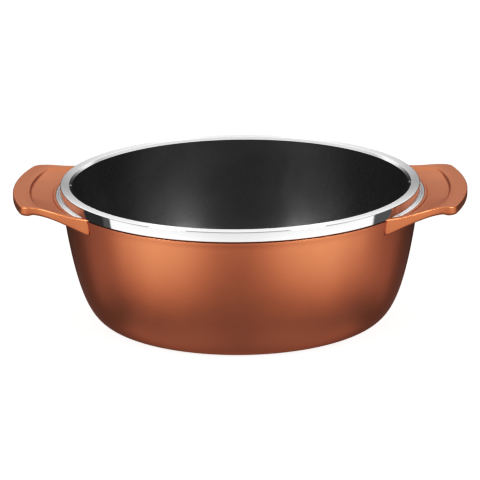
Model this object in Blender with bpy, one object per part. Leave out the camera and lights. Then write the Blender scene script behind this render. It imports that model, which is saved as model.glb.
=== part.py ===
"""Cast casserole pot with two side handles, for a 28 cm mouth.

Lengths are in metres and +Z is up. The pot stands on the plane z = 0 with its axis
on the origin, and its handles point along +X and -X.
"""

import math

import bmesh
import bpy
from mathutils import Vector

# Pot
POT_HEIGHT = 0.1130         # base to the top of the rim
BASE_R = 0.1080             # outer radius of the flat that the pot stands on
BASE_THICKNESS = 0.0058
WALL_LEAN = 0.0116          # how far the wall's curve leans in before the heel
HEEL_HEIGHT = 0.0097        # height where the leaning wall turns into the heel
HEEL_REACH = 0.0136         # how far the heel's curve carries past the base flat
HEEL_METAL = 0.0018         # how far the cavity's curve keeps inside the outer one
FLOOR_INSET = 0.0080        # the flat floor inside is smaller than the base flat by this

# Rim ring
RIM_BAND_R = 0.1475         # outside of the polished band
RIM_FLAT_WIDTH = 0.0075
RIM_BEVEL_WIDTH = 0.0014    # bare bevel inside the mouth
RIM_FLANGE_THICKNESS = 0.0020
RIM_EDGE_ROUND = 0.0010
BAND_HEIGHT = 0.0081
BAND_THICKNESS = 0.0021
BAND_OVERHANG = 0.0004      # the band stands this far proud of the wall below it
LEDGE_WIDTH = 0.0035        # crescent ledge, outwards from the band
LEDGE_THICKNESS = 0.0012
LEDGE_END_GAP = math.radians(1.5)     # from the ledge's end to the wing's tip
LEDGE_TAPER = math.radians(4.5)       # angle over which the ledge narrows to nothing

# Lining
LINING_THICKNESS = 0.0008

# Handles
HANDLE_REACH = 0.0386       # from the band out to the grip's edge
HANDLE_HALF_WIDTH = 0.0653
HANDLE_CORNER_R = 0.0085
HANDLE_TOP_DROP = 0.0038    # grip's top below the rim
GRIP_RISE_LENGTH = 0.0270   # run over which the top climbs from the ledge to the grip
GRIP_THICKNESS = 0.0067
LIP_DROP = 0.0012           # the outer lip hangs this far below the grip's underside
LIP_WIDTH = 0.0056
LIP_SLOPE_LENGTH = 0.0050
WING_ANGLE = math.radians(35.2)
WING_DEPTH = 0.0132         # height of the wing where it meets the wall
WING_TIP_THICKNESS = 0.0008
GUSSET_LENGTH = 0.0330      # run over which the underside sweeps up from the wall
FLARE_GRIP_REACH = 0.0015   # the flank's curve: its two handles, past the band
FLARE_WALL_REACH = -0.0105  # and how much wider than the grip they lie
FLARE_GRIP_EXTRA = 0.0007
FLARE_WALL_EXTRA = 0.0132
TOP_EDGE_ROUND = 0.0009
UNDER_ROOT_ROUND = 0.0008    # lower edge, at the wall
UNDER_LIP_ROUND = 0.0030     # and at the lip

# Sunk panel on each handle
PANEL_COLLAR = 0.0025       # left between the ledge and the panel
PANEL_OUTER_FRAME = 0.0144
PANEL_OUTER_HALF = 0.0525   # half widths of the panel at its outer arc
PANEL_INNER_HALF = 0.0688   # and at its inner arc
PANEL_INNER_DEPTH = 0.0007
PANEL_OUTER_DEPTH = 0.0015

# Handle fixing: a lug of the casting in a pocket of the handle, screwed from below
LUG_REACH = 0.0139          # past the wall
LUG_HALF_WIDTH = 0.0300
LUG_THICKNESS = 0.0042
LUG_COVER = 0.0015          # handle metal between the ledge and the lug
BOSS_SKIN = 0.0030          # handle metal round and under the lug
SCREW_END_INSET = 0.0070    # screw axis inwards from the lug's end
SCREW_SIDE_INSET = 0.0112   # and from its side
SCREW_R = 0.0020
SCREW_HEAD_MARGIN = 0.0020  # head past the shank
SCREW_HEAD_HEIGHT = 0.0022
SOCKET_R = 0.0016
SOCKET_DEPTH = 0.0012
WASHER_WIDTH = 0.0017
WASHER_THICKNESS = 0.0009
WASHER_SPLIT = 0.0010
SEAT_DEPTH = 0.0005         # round seat cut into the boss for each washer
SEAT_MARGIN = 0.0008

# Induction plate, held by studs of the casting in rings of 6, 12, 18
FOOT_WIDTH = 0.0160         # flat ring of the casting left round the plate
PLATE_THICKNESS = 0.0015
PLATE_EDGE_MARGIN = 0.0134  # from the outer ring of studs to the plate's edge
STUD_R = 0.0037
STUD_RINGS = 3
STUDS_IN_FIRST_RING = 6

# Gaps and overlaps
FIT = 0.0003                # gap kept between pieces that touch
BITE = 0.0030               # how far a joined shape runs into its neighbour

# Facets
TURN_STEPS = 64
SMALL_STEPS = 12
STUD_STEPS = 8
WALL_STEPS = 10
FLANK_STEPS = 8
CORNER_STEPS = 4
EDGE_STEPS = 2
GRIP_STEPS = 12
LEDGE_STEPS = 24
TONGUE_STEPS = 8

# Worked out from the sizes above
RIM_INNER_R = RIM_BAND_R - RIM_FLAT_WIDTH
MOUTH_R = RIM_INNER_R - RIM_BEVEL_WIDTH
MOUTH_Z = POT_HEIGHT - RIM_FLANGE_THICKNESS
BAND_INNER_R = RIM_BAND_R - BAND_THICKNESS
BAND_FOOT_Z = POT_HEIGHT - BAND_HEIGHT
WALL_TOP_R = RIM_BAND_R - BAND_OVERHANG
FLOOR_R = BASE_R - FLOOR_INSET
FLOOR_Z = BASE_THICKNESS + FIT + LINING_THICKNESS
LEDGE_R = RIM_BAND_R + LEDGE_WIDTH
LEDGE_UNDER_Z = BAND_FOOT_Z - LEDGE_THICKNESS
LEDGE_END_ANGLE = WING_ANGLE - LEDGE_END_GAP
HANDLE_OUTER_R = RIM_BAND_R + HANDLE_REACH
HANDLE_TOP_Z = POT_HEIGHT - HANDLE_TOP_DROP
GRIP_UNDER_Z = HANDLE_TOP_Z - GRIP_THICKNESS
ROOT_R = WALL_TOP_R - BITE
PANEL_INNER_R = LEDGE_R + PANEL_COLLAR
PANEL_OUTER_R = HANDLE_OUTER_R - PANEL_OUTER_FRAME
LUG_END_R = WALL_TOP_R + LUG_REACH
LUG_TOP_Z = LEDGE_UNDER_Z - FIT - LUG_COVER - FIT
LUG_UNDER_Z = LUG_TOP_Z - LUG_THICKNESS
BOSS_END_R = LUG_END_R + FIT + BOSS_SKIN
BOSS_UNDER_Z = LUG_UNDER_Z - FIT - BOSS_SKIN
SCREW_HOLE_R = SCREW_R + FIT
SCREW_PLACE_R = LUG_END_R - SCREW_END_INSET
SCREW_PLACE_Y = LUG_HALF_WIDTH - SCREW_SIDE_INSET
WASHER_R = SCREW_HOLE_R + WASHER_WIDTH
PLATE_R = BASE_R - FOOT_WIDTH
STUD_PITCH = (PLATE_R - PLATE_EDGE_MARGIN) / STUD_RINGS


def clear_scene():
    """Start from an empty scene."""
    for old in list(bpy.data.objects):
        bpy.data.objects.remove(old, do_unlink=True)


def material(name, color, metallic, roughness):
    """A plain metal, lacquer or coating."""
    surface = bpy.data.materials.new(name)
    surface.use_nodes = True
    shader = surface.node_tree.nodes["Principled BSDF"]
    shader.inputs["Base Color"].default_value = (*color, 1.0)
    shader.inputs["Metallic"].default_value = metallic
    shader.inputs["Roughness"].default_value = roughness
    return surface


def polar(radius, angle):
    """Plan point at this distance and angle from the pot's axis."""
    return Vector((radius * math.cos(angle), radius * math.sin(angle)))


def smoothstep(value):
    """Ease from 0 to 1."""
    value = min(max(value, 0.0), 1.0)
    return value * value * (3.0 - 2.0 * value)


def bezier(start, start_handle, end_handle, end, steps):
    """Points along a cubic curve, both ends included."""
    corners = [Vector(corner) for corner in (start, start_handle, end_handle, end)]
    points = []
    for step in range(steps + 1):
        t = step / steps
        s = 1.0 - t
        weights = (s ** 3, 3.0 * s * s * t, 3.0 * s * t * t, t ** 3)
        points.append(sum((c * w for c, w in zip(corners, weights)), Vector((0.0, 0.0))))
    return points


def left_normals(points):
    """Unit normals to the left of an open line, one for each of its points."""
    normals = []
    for index in range(len(points)):
        before = points[max(index - 1, 0)]
        after = points[min(index + 1, len(points) - 1)]
        along = (after - before).normalized()
        normals.append(Vector((-along.y, along.x)))
    return normals


def add_object(name, mesh, surface=None, parent=None):
    """Link a mesh into the scene as a named object."""
    item = bpy.data.objects.new(name, mesh)
    bpy.context.scene.collection.objects.link(item)
    if surface:
        mesh.materials.append(surface)
    item.parent = parent
    return item


def finish_mesh(bm, name):
    """Turn a bmesh into a smooth-shaded mesh with its faces pointing out."""
    bmesh.ops.recalc_face_normals(bm, faces=bm.faces)
    mesh = bpy.data.meshes.new(name)
    bm.to_mesh(mesh)
    bm.free()
    mesh.shade_smooth()
    mesh.set_sharp_from_angle(angle=math.radians(30.0))
    return mesh


def turned(name, profile, steps=TURN_STEPS):
    """Spin a closed profile of (radius, height) points round the Z axis."""
    bm = bmesh.new()
    corners = [bm.verts.new((radius, 0.0, height)) for radius, height in profile]
    edges = []
    for i in range(len(profile)):
        on_axis = profile[i - 1][0] == 0.0 and profile[i][0] == 0.0
        if not on_axis:
            edges.append(bm.edges.new((corners[i - 1], corners[i])))
    bmesh.ops.spin(bm, geom=corners + edges, cent=(0, 0, 0), axis=(0, 0, 1),
                   angle=math.tau, steps=steps, use_merge=True)
    bmesh.ops.remove_doubles(bm, verts=bm.verts, dist=1e-6)
    return finish_mesh(bm, name)


def slab(name, rows, low, high):
    """Closed block over rows of plan points, between two heights given by radius."""
    bm = bmesh.new()
    under, top = [[[bm.verts.new((x, y, height(math.hypot(x, y)))) for x, y in row] for row in rows]
                  for height in (low, high)]
    last = len(rows) - 1
    across = len(rows[0]) - 1
    for i in range(last):
        for j in range(across):
            for skin in (under, top):
                bm.faces.new((skin[i][j], skin[i + 1][j], skin[i + 1][j + 1], skin[i][j + 1]))
        for j in (0, across):
            bm.faces.new((under[i][j], under[i + 1][j], top[i + 1][j], top[i][j]))
    for j in range(across):
        for i in (0, last):
            bm.faces.new((under[i][j], under[i][j + 1], top[i][j + 1], top[i][j]))
    return finish_mesh(bm, name)


def flat_slab(name, rows, low, high):
    """Closed block over rows of plan points, between two level planes."""
    return slab(name, rows, lambda radius: low, lambda radius: high)


def cylinders(name, places, radius, low, high, steps=SMALL_STEPS):
    """Upright cylinders of one size, all in one mesh."""
    bm = bmesh.new()
    for x, y in places:
        made = bmesh.ops.create_cone(bm, cap_ends=True, segments=steps, radius1=radius,
                                     radius2=radius, depth=high - low)
        bmesh.ops.translate(bm, verts=made["verts"], vec=(x, y, (low + high) / 2.0))
    return finish_mesh(bm, name)


def combine(target, helper, operation):
    """Join a helper shape to a piece, or cut it out, and keep the helper as a hidden guide."""
    helper.hide_render = True
    helper.display_type = 'WIRE'
    change = target.modifiers.new(operation.title() + " " + helper.name, 'BOOLEAN')
    change.operation = operation
    change.solver = 'EXACT'
    change.object = helper


def outer_wall():
    """Profile of the outside, from the band's foot to the edge of the base flat."""
    return bezier((WALL_TOP_R, BAND_FOOT_Z),
                  (WALL_TOP_R - WALL_LEAN, HEEL_HEIGHT),
                  (BASE_R + HEEL_REACH, 0.0),
                  (BASE_R, 0.0), WALL_STEPS)


def cavity_wall(behind=0.0):
    """Profile of the inside, from the ring's bevel to the flat floor, or this far behind it."""
    face = bezier((MOUTH_R, MOUTH_Z - FIT),
                  (WALL_TOP_R - WALL_LEAN - HEEL_METAL, HEEL_HEIGHT + HEEL_METAL),
                  (BASE_R + HEEL_REACH - HEEL_METAL, FLOOR_Z),
                  (FLOOR_R, FLOOR_Z), WALL_STEPS)
    back = [point + normal * behind for point, normal in zip(face, left_normals(face))]
    back[0] = face[0] + Vector((behind, 0.0))
    back[-1] = face[-1] - Vector((0.0, behind))
    return back


def make_pot_body(surface):
    """Cast shell: wall, base with the plate's recess and studs, and the neck under the ring."""
    neck_r = BAND_INNER_R - FIT
    shoulder_z = BAND_FOOT_Z - FIT
    recess_r = PLATE_R + FIT
    recess_z = PLATE_THICKNESS + FIT
    inside = cavity_wall(behind=LINING_THICKNESS + FIT)
    profile = [(neck_r, inside[0].y), (neck_r, shoulder_z), (WALL_TOP_R, shoulder_z)]
    profile += [tuple(point) for point in outer_wall()[1:]]
    profile += [(recess_r, 0.0), (recess_r, recess_z), (0.0, recess_z), (0.0, BASE_THICKNESS)]
    profile += [tuple(point) for point in reversed(inside)]
    body = add_object("pot_body", turned("pot_body", profile), surface)
    studs = cylinders("plate_studs", stud_places(), STUD_R, 0.0, recess_z + BITE / 2, STUD_STEPS)
    combine(body, add_object("plate_studs", studs), 'UNION')
    return body


def make_rim_ring(surface):
    """Polished ring: a flat flange over the wall's top and a band down its outside."""
    eased = RIM_EDGE_ROUND * (1.0 - math.sqrt(0.5))
    profile = [(RIM_INNER_R, POT_HEIGHT),
               (RIM_BAND_R - RIM_EDGE_ROUND, POT_HEIGHT),
               (RIM_BAND_R - eased, POT_HEIGHT - eased),
               (RIM_BAND_R, POT_HEIGHT - RIM_EDGE_ROUND),
               (RIM_BAND_R, BAND_FOOT_Z),
               (BAND_INNER_R, BAND_FOOT_Z),
               (BAND_INNER_R, MOUTH_Z),
               (MOUTH_R, MOUTH_Z)]
    return add_object("rim_ring", turned("rim_ring", profile), surface)


def make_lining(surface):
    """Black skin of the inside, from under the ring's bevel across the floor."""
    profile = [tuple(point) for point in cavity_wall(behind=LINING_THICKNESS)]
    profile += [(0.0, FLOOR_Z - LINING_THICKNESS), (0.0, FLOOR_Z)]
    profile += [tuple(point) for point in reversed(cavity_wall())]
    return add_object("nonstick_lining", turned("nonstick_lining", profile), surface)


def stud_places():
    """Plan places of the studs that hold the induction plate."""
    places = []
    for ring in range(1, STUD_RINGS + 1):
        count = STUDS_IN_FIRST_RING * ring
        places += [polar(ring * STUD_PITCH, math.tau * i / count) for i in range(count)]
    return places


def make_induction_plate(surface):
    """Steel disc flush with the base, with a hole round each stud."""
    profile = [(0.0, PLATE_THICKNESS), (PLATE_R, PLATE_THICKNESS), (PLATE_R, 0.0), (0.0, 0.0)]
    plate = add_object("induction_plate", turned("induction_plate", profile), surface)
    holes = cylinders("plate_holes", stud_places(), STUD_R + FIT,
                      -BITE, PLATE_THICKNESS + BITE, STUD_STEPS)
    combine(plate, add_object("plate_holes", holes), 'DIFFERENCE')
    return plate


def ledge_rows(inner_r, grow):
    """Plan rows of a crescent ledge, tapered into the band at both ends."""
    end = LEDGE_END_ANGLE + grow / RIM_BAND_R
    angles = [end * (2.0 * step / LEDGE_STEPS - 1.0) for step in range(LEDGE_STEPS + 1)]
    rows = [[polar(inner_r, angle) for angle in angles], []]
    for angle in angles:
        taper = smoothstep(1.0 - (LEDGE_END_ANGLE - abs(angle)) / LEDGE_TAPER)
        rows[1].append(polar(LEDGE_R - LEDGE_WIDTH * taper + grow, angle))
    return rows


def tongue_rows(inner_r, inner_half, outer_r, outer_half):
    """Plan rows of a straight-sided tongue whose ends follow the pot's round."""
    rows = []
    for radius, half_width in ((inner_r, inner_half), (outer_r, outer_half)):
        half_angle = math.asin(half_width / radius)
        rows.append([polar(radius, half_angle * (2.0 * step / TONGUE_STEPS - 1.0))
                     for step in range(TONGUE_STEPS + 1)])
    return rows


def handle_top_z(radius):
    """Height of the handle's top, level with the ledge at the pot and climbing to the grip."""
    climb = smoothstep((radius - LEDGE_R) / GRIP_RISE_LENGTH)
    return BAND_FOOT_Z + (HANDLE_TOP_Z - BAND_FOOT_Z) * climb


def handle_under_z(radius):
    """Height of the handle's underside: a gusset at the wall, a thin grip and a hanging lip."""
    sweep = 1.0 - min((radius - WALL_TOP_R) / GUSSET_LENGTH, 1.0)
    gusset = (GRIP_UNDER_Z - BAND_FOOT_Z + WING_DEPTH) * sweep * sweep
    lip_start = HANDLE_OUTER_R - LIP_WIDTH - LIP_SLOPE_LENGTH
    lip = LIP_DROP * smoothstep((radius - lip_start) / LIP_SLOPE_LENGTH)
    return GRIP_UNDER_Z - gusset - lip


def panel_floor_z(radius):
    """Height of the sunk panel's floor, a straight slope down towards the pot."""
    inner = handle_top_z(PANEL_INNER_R) - PANEL_INNER_DEPTH
    outer = handle_top_z(PANEL_OUTER_R) - PANEL_OUTER_DEPTH
    return inner + (outer - inner) * (radius - PANEL_INNER_R) / (PANEL_OUTER_R - PANEL_INNER_R)


def top_round(radius):
    """Rounding of the handle's upper edge, the same all round."""
    return TOP_EDGE_ROUND


def under_round(radius):
    """Rounding of the handle's lower edge, small at the root and full at the lip."""
    share = smoothstep((radius - LEDGE_R) / (HANDLE_OUTER_R - LEDGE_R))
    return UNDER_ROOT_ROUND + (UNDER_LIP_ROUND - UNDER_ROOT_ROUND) * share


def handle_side():
    """Plan outline of the handle's +Y side, from the wing's root to the end of the corner."""
    corner_r = HANDLE_OUTER_R - HANDLE_CORNER_R
    corner_y = HANDLE_HALF_WIDTH - HANDLE_CORNER_R
    corner = Vector((math.sqrt(corner_r ** 2 - corner_y ** 2), corner_y))
    side = [polar(ROOT_R, WING_ANGLE)]
    side += bezier(polar(WALL_TOP_R + FIT + WING_TIP_THICKNESS, WING_ANGLE),
                   (RIM_BAND_R + FLARE_WALL_REACH, HANDLE_HALF_WIDTH + FLARE_WALL_EXTRA),
                   (RIM_BAND_R + FLARE_GRIP_REACH, HANDLE_HALF_WIDTH + FLARE_GRIP_EXTRA),
                   (corner.x, HANDLE_HALF_WIDTH), FLANK_STEPS)
    quarter = math.pi / 2.0
    arc_end = math.atan2(corner.y, corner.x)
    for step in range(1, CORNER_STEPS + 1):
        side.append(corner + polar(HANDLE_CORNER_R, quarter + (arc_end - quarter) * step / CORNER_STEPS))
    return side


def handle_mesh(name):
    """Solid plate with a curved top and underside, joined by a rounded edge."""
    side = handle_side()
    arc_end = math.atan2(side[-1].y, side[-1].x)
    grip = [polar(HANDLE_OUTER_R, arc_end * (1.0 - 2.0 * step / GRIP_STEPS)) for step in range(1, GRIP_STEPS)]
    perimeter = side + grip + [Vector((point.x, -point.y)) for point in reversed(side)]
    outward = left_normals(perimeter)
    last = len(perimeter) - 1

    bm = bmesh.new()
    bends = [math.pi / 2.0 * step / EDGE_STEPS for step in range(EDGE_STEPS + 1)]
    loops = []
    for skin_z, round_at, sign, order in ((handle_top_z, top_round, -1.0, bends),
                                          (handle_under_z, under_round, 1.0, bends[::-1])):
        for bend in order:
            loop = []
            for point, normal in zip(perimeter, outward):
                rounding = round_at(point.length)
                spot = point - normal * rounding * (1.0 - math.sin(bend))
                height = skin_z(spot.length) + sign * rounding * (1.0 - math.cos(bend))
                loop.append(bm.verts.new((spot.x, spot.y, height)))
            loops.append(loop)
    for upper, lower in zip(loops, loops[1:]):
        for i in range(last):
            bm.faces.new((upper[i], upper[i + 1], lower[i + 1], lower[i]))
    for end in (0, last):
        bm.faces.new([loop[end] for loop in loops])

    root_rows = []
    for loop, skin_z in ((loops[0], handle_top_z), (loops[-1], handle_under_z)):
        rows = []
        for i in range(len(side) - 1):
            x, y, _ = loop[i].co
            radius = math.hypot(x, y)
            half_angle = math.atan2(y, x)
            row = [loop[i]]
            for step in range(1, GRIP_STEPS):
                spot = polar(radius, half_angle * (1.0 - 2.0 * step / GRIP_STEPS))
                row.append(bm.verts.new((spot.x, spot.y, skin_z(radius))))
            rows.append(row + [loop[last - i]])
        rows.append(loop[len(side) - 1:last - len(side) + 2])
        for near, far in zip(rows, rows[1:]):
            for j in range(GRIP_STEPS):
                bm.faces.new((near[j], near[j + 1], far[j + 1], far[j]))
        root_rows.append(rows[0])
    top, under = root_rows
    for j in range(GRIP_STEPS):
        bm.faces.new((top[j], top[j + 1], under[j + 1], under[j]))
    bmesh.ops.triangulate(bm, faces=bm.faces)
    return finish_mesh(bm, name)


def wall_clearance_mesh():
    """Ring-shaped cutter that leaves the handle's root clear of the wall's upper half."""
    wall = [Vector((WALL_TOP_R, BAND_FOOT_Z + BITE))] + outer_wall()[:WALL_STEPS // 2]
    core_r = ROOT_R - 2.0 * BITE
    profile = [(core_r, wall[0].y)]
    profile += [(point.x + FIT, point.y) for point in wall]
    profile += [(core_r, wall[-1].y)]
    return turned("wall_clearance", profile)


def make_side(side, turn, body, ring, wall_clearance, copper, steel):
    """One handle with its lug, ledge, screws and washers, turned to its side of the pot."""
    frame = bpy.data.objects.new("frame_" + side, None)
    bpy.context.scene.collection.objects.link(frame)
    frame.rotation_euler.z = turn

    def guide(mesh):
        return add_object(mesh.name + "_" + side, mesh, parent=frame)

    lug = flat_slab("lug", tongue_rows(ROOT_R, LUG_HALF_WIDTH, LUG_END_R, LUG_HALF_WIDTH),
                    LUG_UNDER_Z, LUG_TOP_Z)
    combine(body, guide(lug), 'UNION')
    ledge = flat_slab("ledge", ledge_rows(BAND_INNER_R, 0.0), LEDGE_UNDER_Z, BAND_FOOT_Z)
    combine(ring, guide(ledge), 'UNION')

    handle = add_object("handle_" + side, handle_mesh("handle_" + side), copper, frame)
    boss_half = LUG_HALF_WIDTH + FIT + BOSS_SKIN
    boss = flat_slab("boss", tongue_rows(ROOT_R - BITE / 2, boss_half, BOSS_END_R, boss_half),
                     BOSS_UNDER_Z, handle_under_z(BOSS_END_R) + BITE / 2)
    combine(handle, guide(boss), 'UNION')
    panel = slab("panel", tongue_rows(PANEL_INNER_R, PANEL_INNER_HALF, PANEL_OUTER_R, PANEL_OUTER_HALF),
                 panel_floor_z, lambda radius: POT_HEIGHT)
    combine(handle, guide(panel), 'DIFFERENCE')
    combine(handle, wall_clearance, 'DIFFERENCE')
    pocket_half = LUG_HALF_WIDTH + FIT
    pocket = flat_slab("pocket", tongue_rows(ROOT_R - BITE, pocket_half, LUG_END_R + FIT, pocket_half),
                       LUG_UNDER_Z - FIT, LUG_TOP_Z + FIT)
    combine(handle, guide(pocket), 'DIFFERENCE')
    notch = guide(flat_slab("ledge_notch", ledge_rows(BAND_INNER_R - FIT, FIT),
                            LEDGE_UNDER_Z - FIT, BAND_FOOT_Z + BITE))
    combine(handle, notch, 'DIFFERENCE')
    combine(body, notch, 'DIFFERENCE')

    seat_z = BOSS_UNDER_Z + SEAT_DEPTH
    screw_x = math.sqrt(SCREW_PLACE_R ** 2 - SCREW_PLACE_Y ** 2)
    places = {"front": (screw_x, -SCREW_PLACE_Y), "back": (screw_x, SCREW_PLACE_Y)}
    seats = cylinders("washer_seats", places.values(), WASHER_R + SEAT_MARGIN,
                      BOSS_UNDER_Z - WING_DEPTH, seat_z)
    combine(handle, guide(seats), 'DIFFERENCE')
    holes = cylinders("handle_holes", places.values(), SCREW_HOLE_R, BOSS_UNDER_Z - BITE, LUG_UNDER_Z)
    combine(handle, guide(holes), 'DIFFERENCE')
    tapped = cylinders("lug_holes", places.values(), SCREW_HOLE_R,
                       LUG_UNDER_Z - BITE, LUG_TOP_Z + BITE / 4)
    combine(body, guide(tapped), 'DIFFERENCE')
    for end, place in places.items():
        make_washer(side + "_" + end, place, seat_z - FIT, steel, frame)
        make_screw(side + "_" + end, place, seat_z - FIT - WASHER_THICKNESS - FIT, steel, frame)


def make_washer(label, place, top_z, surface, frame):
    """Split spring washer, its top at this height."""
    under_z = top_z - WASHER_THICKNESS
    profile = [(SCREW_HOLE_R, top_z), (WASHER_R, top_z), (WASHER_R, under_z), (SCREW_HOLE_R, under_z)]
    washer = add_object("washer_" + label, turned("washer", profile, SMALL_STEPS), surface, frame)
    washer.location = (*place, 0.0)
    split_length = WASHER_R + WASHER_WIDTH
    split = bmesh.new()
    bmesh.ops.create_cube(split, size=1.0)
    bmesh.ops.scale(split, verts=split.verts, vec=(split_length, WASHER_SPLIT, 3.0 * WASHER_THICKNESS))
    bmesh.ops.translate(split, verts=split.verts, vec=(split_length / 2.0, 0.0, (top_z + under_z) / 2.0))
    cutter = add_object("washer_split_" + label, finish_mesh(split, "washer_split"), parent=washer)
    combine(washer, cutter, 'DIFFERENCE')


def make_screw(label, place, head_z, surface, frame):
    """Pan-head screw with a hex socket. It hangs head down, with the head's seat at this height."""
    head_r = SCREW_R + SCREW_HEAD_MARGIN
    under_z = head_z - SCREW_HEAD_HEIGHT
    tip_z = LUG_TOP_Z - FIT
    soften = SCREW_HEAD_HEIGHT / 3.0
    profile = [(0.0, tip_z), (SCREW_R - soften, tip_z), (SCREW_R, tip_z - soften), (SCREW_R, head_z),
               (head_r, head_z), (head_r, under_z + soften), (head_r - soften, under_z), (0.0, under_z)]
    screw = add_object("screw_" + label, turned("screw", profile, SMALL_STEPS), surface, frame)
    screw.location = (*place, 0.0)
    socket = cylinders("socket", [(0.0, 0.0)], SOCKET_R, under_z - BITE, under_z + SOCKET_DEPTH, steps=6)
    combine(screw, add_object("socket_" + label, socket, parent=screw), 'DIFFERENCE')


def main():
    """Model the whole pot."""
    clear_scene()
    copper = material("copper lacquer", (0.52, 0.20, 0.10), 0.85, 0.36)
    polished = material("polished rim", (0.86, 0.86, 0.87), 1.0, 0.08)
    black = material("black non-stick", (0.018, 0.018, 0.019), 0.0, 0.50)
    plate_steel = material("plate steel", (0.55, 0.55, 0.56), 1.0, 0.35)
    screw_steel = material("screw steel", (0.62, 0.62, 0.64), 1.0, 0.28)

    body = make_pot_body(copper)
    ring = make_rim_ring(polished)
    make_lining(black)
    make_induction_plate(plate_steel)
    wall_clearance = add_object("wall_clearance", wall_clearance_mesh())
    make_side("right", 0.0, body, ring, wall_clearance, copper, screw_steel)
    make_side("left", math.pi, body, ring, wall_clearance, copper, screw_steel)


main()
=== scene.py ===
"""Fine surfaces, finishes, studio and camera for a cast casserole pot.

Lengths are in metres and +Z is up. The pot stands on z = 0 with its axis on the origin,
and its handles point along +X and -X.
"""

import math

import bmesh
import bpy
from bpy.props import FloatProperty, FloatVectorProperty, PointerProperty
from mathutils import Matrix, Quaternion, Vector


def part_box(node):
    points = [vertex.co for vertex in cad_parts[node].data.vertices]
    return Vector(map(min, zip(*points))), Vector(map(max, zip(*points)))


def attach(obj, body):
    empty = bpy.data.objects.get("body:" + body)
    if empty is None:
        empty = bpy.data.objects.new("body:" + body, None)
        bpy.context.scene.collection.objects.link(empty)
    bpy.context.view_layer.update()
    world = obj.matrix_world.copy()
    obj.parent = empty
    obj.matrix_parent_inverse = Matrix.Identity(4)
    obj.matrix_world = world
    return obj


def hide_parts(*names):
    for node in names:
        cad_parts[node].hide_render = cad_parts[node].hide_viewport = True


bl_info = {
    "name": "Casserole Pot",
    "version": (1, 0, 0),
    "blender": (4, 5, 0),
    "location": "3D View > Sidebar > Casserole",
    "description": "Fine surfaces, finishes and a studio for a cast casserole pot",
    "category": "Object",
}

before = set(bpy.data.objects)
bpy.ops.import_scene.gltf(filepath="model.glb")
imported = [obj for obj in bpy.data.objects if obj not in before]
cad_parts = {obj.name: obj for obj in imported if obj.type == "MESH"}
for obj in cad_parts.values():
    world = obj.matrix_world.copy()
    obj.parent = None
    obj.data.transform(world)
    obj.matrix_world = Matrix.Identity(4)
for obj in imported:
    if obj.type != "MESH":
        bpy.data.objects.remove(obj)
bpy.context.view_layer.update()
RING_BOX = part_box("rim_ring")
HANDLE_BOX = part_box("handle_right")
PLATE_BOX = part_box("induction_plate")
BODY = "root"

# Small features that follow the pot's sizes
MOUTH_BEVEL = 0.0018
FLANGE_THICKNESS = 0.0020
BAND_HEIGHT = 0.0081
BAND_THICKNESS = 0.0021
BAND_OVERHANG = 0.0004
LEDGE_THICKNESS = 0.0012
LEDGE_END = math.radians(33.7)
LEDGE_TAPER = math.radians(4.5)
LEDGE_ROUND = 0.0002        # rounding of a ledge's outer edge
ARC_MIDDLE = 0.3            # middle of that small arc, as a share of its radius from the corner
LEDGE_FULL_SHARE = 0.25     # share of its width at which a ledge has its full thickness
GROOVE_INSET = 0.0018       # fine groove along each ledge, beside the band
GROOVE_WIDTH = 0.0009
GROOVE_INSET_SHARE = 0.3    # both are no more than these shares of the ledge's width
GROOVE_WIDTH_SHARE = 0.2
RIM_INNER_ROUND = 0.0004
RIM_OUTER_ROUND = 0.0010
LINING_THICKNESS = 0.0008
BASE_THICKNESS = 0.0058
FLOOR_INSET = 0.0080
HEEL_HEIGHT = 0.0097
HEEL_METAL = 0.0018
PLATE_THICKNESS = 0.0015
SEAM = 0.0003               # gap between two pieces
HAIRLINE = 0.0003           # gap between a ledge and the handle round it
SHADOW_GAP = 0.0013         # open joint under the polished band
SHOULDER_ROUND = 0.00025    # rounding of the shell's top edge in that joint
RECESS_ROUND = 0.0003       # and of its edge round the induction plate
WING_ANGLE = math.radians(35.2)
WING_TIP = 0.0006
WING_FEATHER = math.radians(0.9)
WING_DEPTH = 0.0132
GUSSET_LENGTH = 0.0330
RISE_LENGTH = 0.0270
SIDE_BENDS = ((-0.0105, 0.0132), (0.0015, 0.0007))   # the side's curve, off the band and the grip's side
CORNER_R = 0.0085
LIP_DROP = 0.0012
LIP_WIDTH = 0.0056
LIP_SLOPE = 0.0050
TOP_ROUND = 0.0011
UNDER_ROOT_ROUND = 0.0012
UNDER_LIP_ROUND = 0.0030
PANEL_COLLAR = 0.0025
PANEL_OUTER_FRAME = 0.0144
PANEL_OUTER_HALF = 0.0525   # half width of the sunk panel at its outer arc
PANEL_FADE_START = 0.0250   # where its outer step grows shallower towards the sides
PANEL_FADE = 0.55
PANEL_FLARE = 0.63          # how fast its sides open towards the pot
PANEL_OUTER_SLOPE = 0.0019  # widths of the slopes down into the panel
PANEL_INNER_SLOPE = 0.0012
PANEL_SIDE_SLOPE = 0.0036
ROOT_INSET = 0.0010         # how far the root runs in under the band
LUG_REACH = 0.0139
LUG_HALF_WIDTH = 0.0300
LUG_THICKNESS = 0.0042
LUG_COVER = 0.0015
BOSS_SKIN = 0.0030
BOSS_DRAFT = 0.0016         # width of the slopes round the boss
BOSS_MARGIN = 0.0008        # where the rows start to curve, past the boss's side
SCREW_END_INSET = 0.0070
SCREW_SIDE_INSET = 0.0112
SCREW_R = 0.0020
SCREW_HEAD_R = 0.0040
SCREW_HEAD_HEIGHT = 0.0022
SCREW_TIP_ROUND = 0.0004
SCREW_SEAT_ROUND = 0.0002
SCREW_HEAD_ROUND = 0.0009
SOCKET_R = 0.0016
SOCKET_DEPTH = 0.0012
WASHER_R = 0.0040
WASHER_THICKNESS = 0.0009
WASHER_SPLIT = 0.0010
WASHER_INNER_ROUND = 0.0001
WASHER_OUTER_ROUND = 0.0002
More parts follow.
